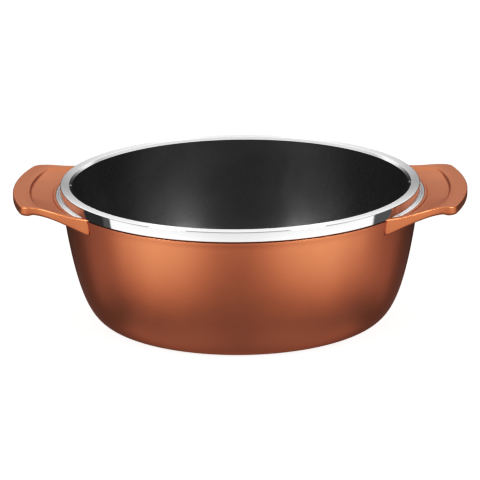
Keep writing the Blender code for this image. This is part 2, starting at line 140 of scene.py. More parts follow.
SEAT_DEPTH = 0.0005
SEAT_MARGIN = 0.0008
STUD_R = 0.0037
STUD_ROUND = 0.0003
STUD_RINGS = 3
STUDS_PER_RING = 6          # on the first ring, twice as many on the second and so on
STUD_EDGE_MARGIN = 0.0134
PLATE_ROUND = 0.0003

# How finely the meshes are made
WALL_STEPS = 72             # steps along the wall's curve, outside and on the lining
HIDDEN_WALL_STEPS = 24      # and on the shell's hidden inside
ROUND_STEPS = 6             # steps of a rounded corner in a profile
TURN_STEPS = 240            # steps round the pot's axis
RING_TURN_STEPS = 480
SCREW_TURN_STEPS = 48
WASHER_TURN_STEPS = 64
STUD_TURN_STEPS = 40
SOCKET_SIDES = 6
EDGE_STEPS = 7              # steps of the handles' rounded edges
CORNER_STEPS = 14           # steps of the grips' corners in plan
NOTCH_STEPS = 160           # steps of the handles' cut round the ledge
HALVINGS = 40               # how often a search for a point of a curve halves its range
PANEL_SLOPE_STEPS = 10      # rows across a slope of the panel
FINE_PITCH = 0.0002         # grid's pitch on the slopes round the boss
LEAST_PITCH = 0.0004        # how close a plain row or column may come to a fine one
PLAIN_ROWS = 40
PLAIN_COLUMNS = (16, 28)    # across half the boss, and from there to the side
CUT_PAST = 0.0030           # how far a cutter reaches past what it cuts
NOTCH_PAST = 0.0040
SPLIT_REACH = 0.0060        # reach of the cutter for a washer's split
SHARP_ANGLE = 32.0          # degrees between faces that stay a sharp edge
TINY = 1e-7

# The studio. Angles are in degrees, off the front to the right and above the horizon.
STUDIO_TOP = 2.0            # brightness at the top of a zone's curve
# A zone's name, its middle, the angles off it over which it takes over from the last zone, and its
# brightness by height
STUDIO_ZONES = (
    ("front", 0, 0, 0, (
        (-90, 0.27), (-60, 0.33), (-45, 0.25), (-30, 0.47), (-18, 1.02), (-10, 0.92), (0, 0.5), (15, 0.27),
        (45, 0.34), (62, 0.88), (90, 0.8))),
    ("beside", -0.5, 4, 42, (
        (-90, 0.27), (-60, 0.42), (-52, 0.37), (-45, 0.25), (-36, 0.45), (-28, 1.55), (-20, 1.30),
        (-10, 1.06), (0, 0.6), (15, 0.36), (42, 0.42), (60, 0.88), (90, 0.8))),
    ("outer", 2, 62, 85, (
        (-90, 0.30), (-60, 0.42), (-52, 0.36), (-45, 0.27), (-36, 0.24), (-28, 1.08), (-15, 1.15),
        (0, 1.0), (15, 0.6), (50, 0.88), (90, 0.8))),
    ("screens", 3.3, 90.4, 91.8, (
        (-90, 0.30), (-60, 0.40), (-46, 0.38), (-38, 0.15), (-33, 0.27), (-28, 0.70), (-25, 0.6),
        (-20, 0.145), (20, 0.145), (35, 0.7), (50, 0.88), (90, 0.8))),
    ("flags", 9, 102, 105, (
        (-90, 0.30), (-60, 0.42), (-46, 0.42), (-38, 0.14), (-33, 0.20), (-28, 0.50), (-22, 0.4),
        (-18, 0.045), (20, 0.045), (35, 0.7), (50, 0.88), (90, 0.8))),
    ("rear", 4, 124, 136, (
        (-90, 0.26), (-60, 0.36), (-50, 0.33), (-38, 0.20), (-32, 0.18), (-22, 0.18), (-18, 0.06),
        (0, 0.06), (8, 0.14), (13, 0.28), (17, 0.51), (25, 1.10), (38, 1.30), (50, 1.30), (70, 1.25),
        (90, 1.0))),
)
SOFTBOX_SIZE = (0.6, 1.0)
SOFTBOX_AIM = 0.05          # height of the point on the pot's axis that they face
SOFTBOX_DISTANCE = 2.0
SOFTBOX_RISE = 27.0
SOFTBOX_AZIMUTH = 46.0
FLOOR_SIZE = 12.0           # half its side
FLOOR_DROP = 0.0002
FLOOR_GLOW = 0.95           # strength of the floor's own light
FLOOR_SHADOW = 0.20         # share of its colour that takes other light, and so shadow
# Levels of the picture, and what they are shown as
CONTRAST = ((0.03, 0.017), (0.06, 0.033), (0.10, 0.058), (0.15, 0.100), (0.22, 0.170), (0.35, 0.325),
            (0.50, 0.495))
CAMERA_PLACE = (0.08580, -2.46365, 0.80470)
CAMERA_AIM = (-0.0006, 0.0, 0.06215)
CAMERA_ROLL = -0.646        # degrees
CAMERA_LENS = 234.14        # millimetres, as is the sensor's width
CAMERA_SENSOR = 36.0


class PotSizes(bpy.types.PropertyGroup):
    """Sizes of the shell, the ring and the lining."""
    height: FloatProperty(
        name="Height", description="Base to the top of the rim", default=RING_BOX[1].z, unit='LENGTH')
    band_radius: FloatProperty(
        name="Band radius", description="Outside of the polished band", default=RING_BOX[1].y, unit='LENGTH')
    rim_width: FloatProperty(
        name="Rim width", description="Width of the rim's flat top", default=0.0075, unit='LENGTH')
    ledge_width: FloatProperty(
        name="Ledge width", description="Crescent ledge outside the band",
        default=RING_BOX[1].x - RING_BOX[1].y, unit='LENGTH')
    base_radius: FloatProperty(
        name="Base radius", description="Flat that the pot stands on", default=0.1080, unit='LENGTH')
    wall_lean: FloatProperty(
        name="Wall lean", description="How far the wall leans in above its heel",
        default=0.0116, unit='LENGTH')
    heel_reach: FloatProperty(
        name="Heel reach", description="How far the heel swells past the base", default=0.0136, unit='LENGTH')


class HandleSizes(bpy.types.PropertyGroup):
    """Sizes of the two handles."""
    outer_radius: FloatProperty(
        name="Reach", description="Pot's axis to the grip's edge", default=HANDLE_BOX[1].x, unit='LENGTH')
    half_width: FloatProperty(
        name="Half width", description="Half of the grip's width", default=0.0653, unit='LENGTH')
    top_drop: FloatProperty(
        name="Top drop", description="Grip's top below the rim", default=0.0038, unit='LENGTH')
    grip_thickness: FloatProperty(
        name="Grip thickness", description="Metal at the grip", default=0.0067, unit='LENGTH')
    panel_inner_depth: FloatProperty(
        name="Panel depth at the pot", description="Step of the sunk panel", default=0.0013, unit='LENGTH')
    panel_outer_depth: FloatProperty(
        name="Panel depth at the grip", description="Step of the sunk panel", default=0.0018, unit='LENGTH')


class Finishes(bpy.types.PropertyGroup):
    """Colours and gloss of the finishes."""
    copper: FloatVectorProperty(
        name="Copper lacquer", description="Colour of the outside",
        default=(0.66, 0.243, 0.123), subtype='COLOR', min=0.0, max=1.0)
    copper_roughness: FloatProperty(
        name="Copper roughness", description="Satin of the outside",
        default=0.29, subtype='FACTOR', min=0.0, max=1.0)
    polished: FloatVectorProperty(
        name="Polished rim", description="Colour of the bare rim",
        default=(0.87, 0.87, 0.88), subtype='COLOR', min=0.0, max=1.0)
    # Partly wear, partly painted edge highlight: the lighter copper laid on the outer edges.
    rubbed_copper_and_highlight: FloatVectorProperty(
        name="Rubbed copper", description="Colour of its rubbed edges",
        default=(0.82, 0.42, 0.24), subtype='COLOR', min=0.0, max=1.0)
    lining: FloatVectorProperty(
        name="Non-stick", description="Colour of the inside",
        default=(0.010, 0.010, 0.0103), subtype='COLOR', min=0.0, max=1.0)
    lining_roughness: FloatProperty(
        name="Non-stick roughness", description="Satin of the inside",
        default=0.30, subtype='FACTOR', min=0.0, max=1.0)
    speckle: FloatVectorProperty(
        name="Speckle", description="Colour of the inside's specks",
        default=(0.20, 0.20, 0.21), subtype='COLOR', min=0.0, max=1.0)
    heat_tint: FloatVectorProperty(
        name="Heat tint", description="Straw tint on the induction plate",
        default=(0.55, 0.46, 0.33), subtype='COLOR', min=0.0, max=1.0)
    plate: FloatVectorProperty(
        name="Plate steel", description="Colour of the induction plate",
        default=(0.50, 0.50, 0.51), subtype='COLOR', min=0.0, max=1.0)
    screw: FloatVectorProperty(
        name="Screw steel", description="Colour of the screws and washers",
        default=(0.62, 0.62, 0.64), subtype='COLOR', min=0.0, max=1.0)


class Studio(bpy.types.PropertyGroup):
    """Floor, surroundings and lights."""
    floor_colour: FloatVectorProperty(
        name="Floor", description="Colour of the floor",
        default=(0.90, 0.90, 0.90), subtype='COLOR', min=0.0, max=1.0)
    brightness: FloatProperty(
        name="Studio", description="Brightness of the studio's white walls", default=1.0, min=0.0)
    softbox_power: FloatProperty(
        name="Softboxes", description="Power of each of the two softboxes",
        default=30.0, min=0.0, subtype='POWER')


def smoothstep(value):
    """Ease from 0 to 1."""
    value = min(max(value, 0.0), 1.0)
    return value * value * (3.0 - 2.0 * value)


def polar(radius, angle):
    """Plan point at this distance and angle from the pot's axis."""
    return Vector((radius * math.cos(angle), radius * math.sin(angle)))


def bezier_point(corners, t):
    """Point on a cubic curve."""
    s = 1.0 - t
    weights = (s ** 3, 3.0 * s * s * t, 3.0 * s * t * t, t ** 3)
    return sum((Vector(c) * w for c, w in zip(corners, weights)), Vector((0.0, 0.0)))


def bezier(corners, steps):
    """Points along a cubic curve, both ends included."""
    return [bezier_point(corners, step / steps) for step in range(steps + 1)]


def left_normals(points):
    """Unit normals to the left of an open line, one for each of its points."""
    normals = []
    for index in range(len(points)):
        before = points[max(index - 1, 0)]
        after = points[min(index + 1, len(points) - 1)]
        along = (after - before).normalized()
        normals.append(Vector((-along.y, along.x)))
    return normals


def rounded(profile, corners):
    """Profile with some of its corners turned into arcs. corners maps a point's index to a radius."""
    out = []
    for index, point in enumerate(profile):
        if index not in corners:
            out.append(Vector(point))
            continue
        point = Vector(point)
        radius = corners[index]
        to_last = (Vector(profile[index - 1]) - point).normalized()
        to_next = (Vector(profile[(index + 1) % len(profile)]) - point).normalized()
        half = to_last.angle(to_next) / 2.0
        weight = math.sin(half)
        reach = radius / math.tan(half)
        start = point + to_last * reach
        end = point + to_next * reach
        for step in range(ROUND_STEPS + 1):
            t = step / ROUND_STEPS
            s = 1.0 - t
            scale = s * s + 2.0 * s * t * weight + t * t
            out.append((start * s * s + point * 2.0 * s * t * weight + end * t * t) / scale)
    return out


def add_object(name, data):
    """Put a mesh, a light or a camera into the scene as an object."""
    item = bpy.data.objects.new(name, data)
    bpy.context.scene.collection.objects.link(item)
    return item


def piece(name, mesh, material, node):
    """Place a mesh as a shown piece that rides on the pot and stands for its CAD node."""
    item = add_object(name, mesh)
    mesh.materials.clear()
    mesh.materials.append(material)
    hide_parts(node)
    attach(item, BODY)


def smooth(mesh):
    """Shade a mesh smooth, with its true edges sharp."""
    mesh.shade_smooth()
    mesh.set_sharp_from_angle(angle=math.radians(SHARP_ANGLE))
    return mesh


def to_mesh(bm, name):
    """Turn a bmesh into a mesh with its faces pointing out."""
    bmesh.ops.recalc_face_normals(bm, faces=bm.faces)
    mesh = bpy.data.meshes.new(name)
    bm.to_mesh(mesh)
    bm.free()
    return smooth(mesh)


def lathe(name, profile_at, steps=TURN_STEPS):
    """Closed mesh whose profile of (radius, height) points may change with the angle."""
    bm = bmesh.new()
    rings = []
    for step in range(steps):
        angle = math.tau * step / steps
        c, s = math.cos(angle), math.sin(angle)
        rings.append([bm.verts.new((r * c, r * s, z)) for r, z in profile_at(angle)])
    count = len(rings[0])
    on_axis = [math.hypot(v.co.x, v.co.y) < TINY for v in rings[0]]
    for i in range(steps):
        here, there = rings[i - 1], rings[i]
        for j in range(count):
            if not (on_axis[j - 1] and on_axis[j]):
                bm.faces.new((here[j - 1], here[j], there[j], there[j - 1]))
    bmesh.ops.remove_doubles(bm, verts=bm.verts, dist=TINY)
    bmesh.ops.dissolve_degenerate(bm, edges=bm.edges, dist=TINY)
    return to_mesh(bm, name)


def round_bars(places, radius, low, high, steps=SCREW_TURN_STEPS, foot_round=0.0):
    """Upright cylinders of one size, all in one mesh."""
    bm = bmesh.new()
    for x, y in places:
        made = bmesh.ops.create_cone(bm, cap_ends=True, segments=steps, radius1=radius,
                                     radius2=radius, depth=high - low)
        bmesh.ops.translate(bm, verts=made["verts"], vec=(x, y, (low + high) / 2.0))
    if foot_round:
        feet = [edge for edge in bm.edges if all(v.co.z < low + TINY for v in edge.verts)]
        bmesh.ops.bevel(bm, geom=feet, offset=foot_round, segments=3, affect='EDGES')
    return to_mesh(bm, "round_bars")


def carve(mesh, *cutters):
    """Mesh with these other meshes cut out of it."""
    target = add_object("carved", mesh)
    helpers = [add_object("cutter", cutter) for cutter in cutters]
    for helper in helpers:
        cut = target.modifiers.new("Cut", 'BOOLEAN')
        cut.operation = 'DIFFERENCE'
        cut.solver = 'EXACT'
        cut.object = helper
    depsgraph = bpy.context.evaluated_depsgraph_get()
    result = bpy.data.meshes.new_from_object(target.evaluated_get(depsgraph))
    for item in (target, *helpers):
        bpy.data.objects.remove(item)
    return smooth(result)


class PotShape:
    """Outlines of the pot, worked out from its sizes."""

    def __init__(self, sizes):
        self.height = sizes.height
        self.band_r = sizes.band_radius
        self.rim_inner_r = sizes.band_radius - sizes.rim_width
        self.mouth_r = self.rim_inner_r - MOUTH_BEVEL
        self.mouth_z = sizes.height - FLANGE_THICKNESS
        self.band_inner_r = sizes.band_radius - BAND_THICKNESS
        self.band_foot_z = sizes.height - BAND_HEIGHT
        self.wall_r = sizes.band_radius - BAND_OVERHANG
        self.base_r = sizes.base_radius
        self.floor_r = sizes.base_radius - FLOOR_INSET
        self.floor_z = BASE_THICKNESS + SEAM + LINING_THICKNESS
        self.ledge_width = sizes.ledge_width
        self.ledge_r = sizes.band_radius + sizes.ledge_width
        self.lean = sizes.wall_lean
        self.heel = sizes.heel_reach
        self.lug_under_z = self.band_foot_z - LEDGE_THICKNESS - SEAM - LUG_COVER - SEAM - LUG_THICKNESS

    def outside(self, steps):
        """Profile of the outside, from the band's foot to the base's flat."""
        return bezier(((self.wall_r, self.band_foot_z),
                       (self.wall_r - self.lean, HEEL_HEIGHT),
                       (self.base_r + self.heel, 0.0),
                       (self.base_r, 0.0)), steps)

    def inside(self, steps, behind=0.0):
        """Profile of the cavity, from the rim's bevel to the flat floor, or this far behind it."""
        face = bezier(((self.mouth_r, self.mouth_z - SEAM),
                       (self.wall_r - self.lean - HEEL_METAL, HEEL_HEIGHT + HEEL_METAL),
                       (self.base_r + self.heel - HEEL_METAL, self.floor_z),
                       (self.floor_r, self.floor_z)), steps)
        back = [point + normal * behind for point, normal in zip(face, left_normals(face))]
        back[0] = face[0] + Vector((behind, 0.0))
        back[-1] = face[-1] - Vector((0.0, behind))
        return back

    def ledge_at(self, angle):
        """Width of the crescent ledge at this angle round the pot."""
        off = abs(math.remainder(angle, math.pi))
        return self.ledge_width * smoothstep((LEDGE_END - off) / LEDGE_TAPER)


def slope_steps(top):
    """Fine steps across a slope of the boss, from just past it at this size inwards."""
    return {top - k * FINE_PITCH for k in range(-1, 10)}


def filled(fine, plain):
    """Fine steps, with those plain ones that lie clear of them."""
    return fine | {size for size in plain if min(abs(size - other) for other in fine) > LEAST_PITCH}


class HandleShape:
    """Outline and skins of the handle on the +X side, worked out from its sizes."""

    def __init__(self, sizes, pot):
        self.pot = pot
        self.outer_r = sizes.outer_radius
        self.half_width = sizes.half_width
        self.top_z = pot.height - sizes.top_drop
        self.under_z = self.top_z - sizes.grip_thickness
        self.root_r = pot.wall_r - ROOT_INSET
        self.panel_inner_r = pot.ledge_r + PANEL_COLLAR
        self.panel_outer_r = sizes.outer_radius - PANEL_OUTER_FRAME
        self.panel_corner_x = math.sqrt(self.panel_outer_r ** 2 - PANEL_OUTER_HALF ** 2)
        self.depths = (sizes.panel_inner_depth, sizes.panel_outer_depth)
        self.boss_r = pot.wall_r + LUG_REACH + SEAM + BOSS_SKIN
        self.boss_half = LUG_HALF_WIDTH + SEAM + BOSS_SKIN
        self.boss_z = pot.lug_under_z - SEAM - BOSS_SKIN
        screw_r = pot.wall_r + LUG_REACH - SCREW_END_INSET
        screw_y = LUG_HALF_WIDTH - SCREW_SIDE_INSET
        screw_x = math.sqrt(screw_r ** 2 - screw_y ** 2)
        self.screws = {"front": (screw_x, -screw_y), "back": (screw_x, screw_y)}
        corner_r = self.outer_r - CORNER_R
        corner_y = self.half_width - CORNER_R
        self.corner = Vector((math.sqrt(corner_r ** 2 - corner_y ** 2), corner_y))

    def crown(self, radius):
        """Height of the top without its panel."""
        foot = self.pot.band_foot_z
        return foot + (self.top_z - foot) * smoothstep((radius - self.pot.ledge_r) / RISE_LENGTH)

    def top(self, radius, y):
        """Height of the top, with the sunk panel and its soft slopes."""
        across = (radius - self.panel_inner_r) / (self.panel_outer_r - self.panel_inner_r)
        inner_z = self.crown(self.panel_inner_r) - self.depths[0]
        fade = smoothstep((abs(y) - PANEL_FADE_START) / (PANEL_OUTER_HALF - PANEL_FADE_START))
        outer_z = self.crown(self.panel_outer_r) - self.depths[1] * (1.0 - PANEL_FADE * fade)
        floor = inner_z + (outer_z - inner_z) * across
        x = math.sqrt(max(radius * radius - y * y, 0.0))
        side_y = PANEL_OUTER_HALF + PANEL_FLARE * (self.panel_corner_x - x)
        mask = smoothstep((radius - self.panel_inner_r) / PANEL_INNER_SLOPE + 0.5)
        mask *= smoothstep((self.panel_outer_r - radius) / PANEL_OUTER_SLOPE + 0.5)
        mask *= smoothstep((side_y - abs(y)) / PANEL_SIDE_SLOPE + 0.5)
        crown = self.crown(radius)
        return crown + (floor - crown) * mask

    def plain_under(self, radius):
        """Height of the underside without the boss."""
        sweep = 1.0 - min(max((radius - self.pot.wall_r) / GUSSET_LENGTH, 0.0), 1.0)
        gusset = (self.under_z - self.pot.band_foot_z + WING_DEPTH) * sweep * sweep
        lip_start = self.outer_r - LIP_WIDTH - LIP_SLOPE
        lip = LIP_DROP * smoothstep((radius - lip_start) / LIP_SLOPE)
        return self.under_z - gusset - lip

    def under(self, radius, y):
        """Height of the underside, with the boss round the screws."""
        skin = self.plain_under(radius)
        mask = smoothstep((self.boss_r - radius) / BOSS_DRAFT)
        mask *= smoothstep((self.boss_half - abs(y)) / BOSS_DRAFT)
        return min(skin, skin + (self.boss_z - skin) * mask)

    def under_round(self, radius):
        """Rounding of the lower edge, small at the root and full at the lip."""
        share = smoothstep((radius - self.pot.ledge_r) / (self.outer_r - self.pot.ledge_r))
        return UNDER_ROOT_ROUND + (UNDER_LIP_ROUND - UNDER_ROOT_ROUND) * share

    def rows(self):
        """Radii of the grid's rows from the root to the corner's start, close together at every step."""
        start = self.pot.wall_r + SEAM + WING_TIP
        end = Vector((self.corner.x, self.half_width)).length
        fine = {self.root_r, start} | slope_steps(self.boss_r)
        for centre, width in ((self.panel_inner_r, PANEL_INNER_SLOPE),
                              (self.panel_outer_r, PANEL_OUTER_SLOPE)):
            fine |= {centre + width * k / PANEL_SLOPE_STEPS for k in range(-6, 7)}
        radii = filled(fine, {start + (end - start) * k / PLAIN_ROWS for k in range(1, PLAIN_ROWS)})
        return sorted(r for r in radii if r < end) + [end]

    def side(self):
        """Plan outline of the +Y side, from the wing's root to the end of the corner."""
        band = self.pot.band_r
        corners = (polar(self.pot.wall_r + SEAM + WING_TIP, WING_ANGLE),
                   *((band + x, self.half_width + y) for x, y in SIDE_BENDS),
                   (self.corner.x, self.half_width))
        points = [polar(self.root_r, WING_ANGLE + WING_FEATHER)]
        for radius in self.rows()[1:]:
            low, high = 0.0, 1.0
            for _ in range(HALVINGS):
                middle = (low + high) / 2.0
                if bezier_point(corners, middle).length < radius:
                    low = middle
                else:
                    high = middle
            points.append(bezier_point(corners, high))
        quarter = math.pi / 2.0
        arc_end = math.atan2(self.corner.y, self.corner.x)
        for step in range(1, CORNER_STEPS + 1):
            angle = quarter + (arc_end - quarter) * step / CORNER_STEPS
            points.append(self.corner + polar(CORNER_R, angle))
        return points

    def columns(self, edge):
        """Distances across a row, from the +Y edge to the -Y edge, close together at the boss's sides."""
        near, far = PLAIN_COLUMNS
        span = self.boss_half + BOSS_MARGIN
        half = sorted(filled({0.0} | slope_steps(self.boss_half), {span * k / near for k in range(near + 1)}))
        last = half[-1]
        half += [last + (edge - last) * k / far for k in range(1, far + 1)]
        return half[::-1] + [-y for y in half[1:]]


def handle_mesh(shape):
    """Solid plate with a curved top and underside, joined by a rounded edge."""
    side = shape.side()
    grip_y = shape.columns(side[-1].y)[1:-1]
    grip = [Vector((math.sqrt(shape.outer_r ** 2 - y * y), y)) for y in grip_y]
    perimeter = side + grip + [Vector((point.x, -point.y)) for point in reversed(side)]
    outward = left_normals(perimeter)
    last = len(perimeter) - 1
    radii = shape.rows()
    row_radii = radii + [None] * (len(side) - len(radii))

    bm = bmesh.new()
    bends = [math.pi / 2.0 * step / EDGE_STEPS for step in range(EDGE_STEPS + 1)]
    loops = []
    for skin, sign, rounding_at, order in ((shape.top, -1.0, lambda radius: TOP_ROUND, bends),
                                           (shape.under, 1.0, shape.under_round, bends[::-1])):
        for bend in order:
            loop = []
            for point, normal in zip(perimeter, outward):
                rounding = rounding_at(point.length)
                spot = point - normal * rounding * (1.0 - math.sin(bend))
                height = skin(spot.length, spot.y) + sign * rounding * (1.0 - math.cos(bend))
                loop.append(bm.verts.new((spot.x, spot.y, height)))
            loops.append(loop)
    for upper, lower in zip(loops, loops[1:]):
        for i in range(last):
            bm.faces.new((upper[i], upper[i + 1], lower[i + 1], lower[i]))
    for end in (0, last):
        bm.faces.new([loop[end] for loop in loops])

    root_rows = []
    block = shape.boss_half + BOSS_MARGIN
    for loop, skin in ((loops[0], shape.top), (loops[-1], shape.under)):
        rows = []
        for i in range(len(side) - 1):
            x, y, _ = loop[i].co
            edge_r = math.hypot(x, y)
            middle_r = row_radii[i] or edge_r
            row = [loop[i]]
            for across in shape.columns(y)[1:-1]:
                share = min(max((abs(across) - block) / (y - block), 0.0), 1.0)
                radius = middle_r + (edge_r - middle_r) * share
                spot_x = math.sqrt(radius ** 2 - across ** 2)
                row.append(bm.verts.new((spot_x, across, skin(radius, across))))
            rows.append(row + [loop[last - i]])
        rows.append(loop[len(side) - 1:last - len(side) + 2])
        for near, far in zip(rows, rows[1:]):
            for j in range(len(near) - 1):
                bm.faces.new((near[j], near[j + 1], far[j + 1], far[j]))
        root_rows.append(rows[0])
    top, under = root_rows
    for j in range(len(top) - 1):
        bm.faces.new((top[j], top[j + 1], under[j + 1], under[j]))
    return to_mesh(bm, "handle")


def ledge_notch(pot):
    """Cutter that leaves the handle a hairline clear of the crescent ledge over its root."""
    bm = bmesh.new()
    end = LEDGE_END + HAIRLINE / pot.band_r
    low, high = pot.band_foot_z - LEDGE_THICKNESS - HAIRLINE, pot.band_foot_z + NOTCH_PAST
    rows = []
    for step in range(NOTCH_STEPS + 1):
        angle = end * (2.0 * step / NOTCH_STEPS - 1.0)
        inner = polar(pot.wall_r - NOTCH_PAST, angle)
        outer = polar(pot.band_r + pot.ledge_at(angle) + HAIRLINE, angle)
        rows.append([bm.verts.new((spot.x, spot.y, z)) for spot, z in
                     ((inner, low), (outer, low), (outer, high), (inner, high))])
    for here, there in zip(rows, rows[1:]):
        for k in range(4):
            bm.faces.new((here[k - 1], here[k], there[k], there[k - 1]))
    bm.faces.new(rows[0])
    bm.faces.new(rows[-1][::-1])
    return to_mesh(bm, "ledge_notch")


def turned_half(mesh, name):
    """Copy of a mesh turned half round the pot's axis."""
    copy = mesh.copy()
    copy.name = name
    for vertex in copy.vertices:
        vertex.co.x = -vertex.co.x
        vertex.co.y = -vertex.co.y
    return copy


def stud_places(pot):
    """Plan places of the studs that hold the induction plate."""
    plate_r = PLATE_BOX[1].x
    pitch = (plate_r - STUD_EDGE_MARGIN) / STUD_RINGS
    places = []
    for ring in range(1, STUD_RINGS + 1):
        count = STUDS_PER_RING * ring
        places += [polar(ring * pitch, math.tau * i / count) for i in range(count)]
    return places


class Nodes:
    """Short way to add and link nodes in one tree."""

    def __init__(self, tree):
        self.tree = tree

    def add(self, kind, *feeds, label="", **values):
        """Add a node. Feeds go to its first inputs, and values name its settings or its other inputs."""
        node = self.tree.nodes.new(kind)
        node.label = label
        for key, value in values.items():
            if hasattr(node, key):
                setattr(node, key, value)
        for index, value in enumerate(feeds):
            self.feed(node.inputs[index], value)
        for key, value in values.items():
            if not hasattr(node, key):
                self.feed(node.inputs[key.replace("_", " ")], value)
        return node

    def feed(self, socket, value):
        """Link a socket to an output, or give it a plain value."""
        if isinstance(value, bpy.types.NodeSocket):
            self.tree.links.new(value, socket)
        elif value is not None:
            socket.default_value = value

    def math(self, operation, *feeds):
        """Add a math node and return its result."""
        return self.add("ShaderNodeMath", *feeds, operation=operation).outputs[0]

    def ease(self, value, low, high, start=0.0, end=1.0):
        """Ease from start to end while value goes from low to high."""
        node = self.add("ShaderNodeMapRange", value, low, high, start, end, interpolation_type='SMOOTHSTEP')
        return node.outputs["Result"]

    def mix(self, share, one, other):
        """Blend two colours."""
        node = self.add("ShaderNodeMix", data_type='RGBA', blend_type='MIX')
        sockets = [socket for socket in node.inputs if socket.enabled]
        for socket, value in zip(sockets, (share, one, other)):
            self.feed(socket, value)
        return [socket for socket in node.outputs if socket.enabled][0]

    def raised(self, value, mask, amount):
        """Add up to this amount to a value through a mask."""
        return self.math('MULTIPLY_ADD', mask, amount, value)

    def tint(self, tone, colour, mask, share):
        """Lay a colour over another through a mask, up to this share."""
        return self.mix(self.math('MULTIPLY', mask, share), tone, colour)

    def noise(self, vector, scale, detail=2.0, roughness=0.5, dimensions='3D', distortion=0.0):
        """Add a noise texture and return its value, from 0 to 1."""
        node = self.add("ShaderNodeTexNoise", noise_dimensions=dimensions)
        self.feed(node.inputs["W" if dimensions == '1D' else "Vector"], vector)
        values = {"Scale": scale, "Detail": detail, "Roughness": roughness, "Distortion": distortion}
        for key, value in values.items():
            self.feed(node.inputs[key], value)
        return node.outputs["Fac"]


def node_group(name, inputs, outputs):
    """Start a shader node group with what it is given, or return a finished one and no nodes."""
    if name in bpy.data.node_groups:
        return bpy.data.node_groups[name], None, None
    group = bpy.data.node_groups.new(name, 'ShaderNodeTree')
    for key, (kind, default) in inputs.items():
        socket = group.interface.new_socket(name=key, in_out='INPUT', socket_type="NodeSocket" + kind)
        if default is not None:
            socket.default_value = default
    for key, kind in outputs.items():
        group.interface.new_socket(name=key, in_out='OUTPUT', socket_type="NodeSocket" + kind)
    nodes = Nodes(group)
    return group, nodes, nodes.add("NodeGroupInput").outputs


def paint_flake():
    """Fine metal flakes and the slight orange peel of sprayed lacquer."""
    group, nodes, given = node_group(
        "paint_flake",
        {"Place": ("Vector", None), "Flakes per metre": ("Float", 4500.0), "Peel per metre": ("Float", 320.0)},
        {"Flake": "Float", "Height": "Float"})
    if nodes:
        cells = nodes.add("ShaderNodeTexVoronoi", voronoi_dimensions='3D', feature='F1',
                          Vector=given["Place"], Scale=given["Flakes per metre"])
        flake = nodes.add("ShaderNodeSeparateColor", cells.outputs["Color"]).outputs[0]
        peel = nodes.noise(given["Place"], given["Peel per metre"], 2.0, 0.45)
        height = nodes.math('MULTIPLY_ADD', flake, 0.12, peel)
        nodes.add("NodeGroupOutput", flake, height)
    return group


def soft_patches():
    """Broad and small cloudy patches, for finger marks, uneven spray and tarnish."""
    group, nodes, given = node_group(
        "soft_patches",
        {"Place": ("Vector", None), "Per metre": ("Float", 14.0), "Contrast": ("Float", 1.0)},
        {"Patch": "Float"})
    if nodes:
        broad = nodes.noise(given["Place"], given["Per metre"], 4.0, 0.55, distortion=0.6)
        off = nodes.math('MULTIPLY', nodes.math('SUBTRACT', broad, 0.5), given["Contrast"])
        nodes.add("NodeGroupOutput", nodes.add("ShaderNodeClamp", nodes.math('ADD', off, 0.5)).outputs[0])
    return group


def turned_marks():
    """Fine rings that a lathe or a brush leaves round the pot's axis."""
    group, nodes, given = node_group(
        "turned_marks",
        {"Place": ("Vector", None), "Per metre": ("Float", 6000.0), "Rise": ("Float", 1.0)},
        {"Height": "Float", "Streak": "Float"})
    if nodes:
        flat = nodes.add("ShaderNodeVectorMath", given["Place"], (1.0, 1.0, 0.0), operation='MULTIPLY')
        radius = nodes.add("ShaderNodeVectorMath", flat.outputs[0], operation='LENGTH').outputs["Value"]
        height = nodes.add("ShaderNodeSeparateXYZ", given["Place"]).outputs["Z"]
        along = nodes.math('MULTIPLY_ADD', height, given["Rise"], radius)
        fine = nodes.noise(along, given["Per metre"], 2.0, 0.7, '1D')
        broad = nodes.noise(along, nodes.math('MULTIPLY', given["Per metre"], 0.13), 2.0, 0.5, '1D')
        broken = nodes.noise(given["Place"], 90.0, 2.0)
        streak = nodes.math('MULTIPLY_ADD', nodes.math('SUBTRACT', fine, 0.5), broken, broad)
        nodes.add("NodeGroupOutput", fine, nodes.add("ShaderNodeClamp", streak).outputs[0])
    return group


def rubbed_edge_and_highlight():
    """Mask of the outer edges, where handling rubs a finish brighter; the brightening it drives is partly wear
    and partly painted edge highlight.
    """
    group, nodes, given = node_group(
        "rubbed_edge_and_highlight",
        {"Radius": ("Float", 0.0008), "Amount": ("Float", 1.0), "Place": ("Vector", None)},
        {"Mask": "Float"})
    if nodes:
        bevel = nodes.add("ShaderNodeBevel", samples=6, Radius=given["Radius"])
        geometry = nodes.add("ShaderNodeNewGeometry")
        turn = nodes.add("ShaderNodeVectorMath", bevel.outputs[0], geometry.outputs["Normal"],
                         operation='DOT_PRODUCT').outputs["Value"]
        edge = nodes.ease(turn, 0.995, 0.80)
        broken = nodes.ease(nodes.noise(given["Place"], 420.0, 3.0, 0.6), 0.35, 0.65, 0.35, 1.0)
        mask = nodes.math('MULTIPLY', nodes.math('MULTIPLY', edge, broken), given["Amount"])
        nodes.add("NodeGroupOutput", mask)
    return group


def fine_dust():
    """Mask of small scattered specks."""
    group, nodes, given = node_group(
        "fine_dust",
        {"Place": ("Vector", None), "Per metre": ("Float", 900.0), "Share": ("Float", 0.2),
         "Size": ("Float", 0.3)},
        {"Speck": "Float"})
    if nodes:
        cells = nodes.add("ShaderNodeTexVoronoi", voronoi_dimensions='3D', feature='F1',
                          Vector=given["Place"], Scale=given["Per metre"])
        draw = nodes.add("ShaderNodeSeparateColor", cells.outputs["Color"])
        chosen = nodes.math('LESS_THAN', draw.outputs[0], given["Share"])
        near = nodes.ease(cells.outputs["Distance"], given["Size"], nodes.math('MULTIPLY', given["Size"], 0.5))
        strength = nodes.math('MULTIPLY_ADD', draw.outputs[1], 0.7, 0.3)
        nodes.add("NodeGroupOutput", nodes.math('MULTIPLY', nodes.math('MULTIPLY', chosen, near), strength))
    return group


